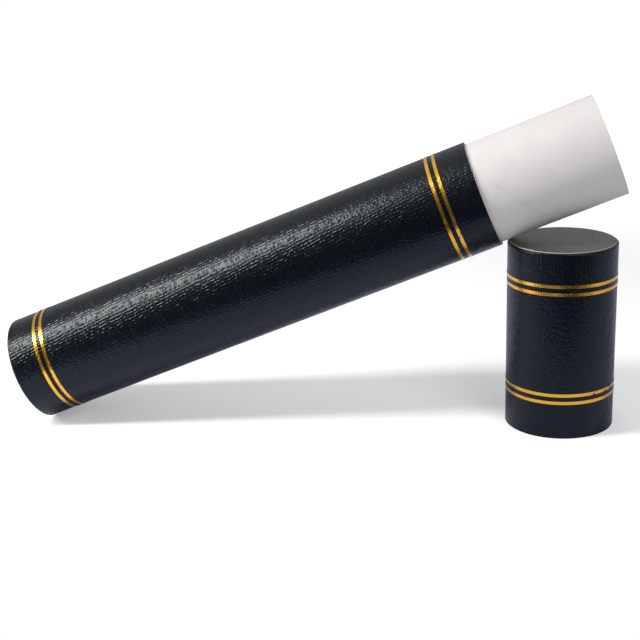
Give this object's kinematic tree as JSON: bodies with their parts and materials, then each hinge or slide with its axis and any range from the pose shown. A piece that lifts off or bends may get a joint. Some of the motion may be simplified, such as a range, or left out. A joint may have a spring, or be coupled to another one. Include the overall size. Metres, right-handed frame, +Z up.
{
  "type": "diploma tube",
  "caption": "Round leatherette-wrapped card tube for a rolled diploma, with a white inner neck and gold foil lines, leaning on its pull-off cap.",
  "frame": {"origin": "middle of the floor area that the leaning tube and its standing cap cover, at floor level", "axes": "+Z up, +X along the floor from the tube's closed end to its neck, +Y to the back"},
  "size_m": [0.2926, 0.0548, 0.1523],
  "materials": {
    "leatherette": "navy-black leather grain, satin",
    "gold_foil": "hot-stamped gold foil",
    "neck_paper": "spiral-wound board with a white outer ply",
    "core_board": "wound grey-brown board",
    "end_card": "dark grey card with a raw tan edge"
  },
  "bodies": {
    "root": {"neck_tube": "neck_paper", "body_core": "core_board", "body_wrap": "leatherette", "body_end_disc": "end_card", "body_foil_lines": "gold_foil", "cap_core": "core_board", "cap_wrap": "leatherette", "cap_end_disc": "end_card", "cap_foil_lines": "gold_foil"}
  },
  "joints": []
}
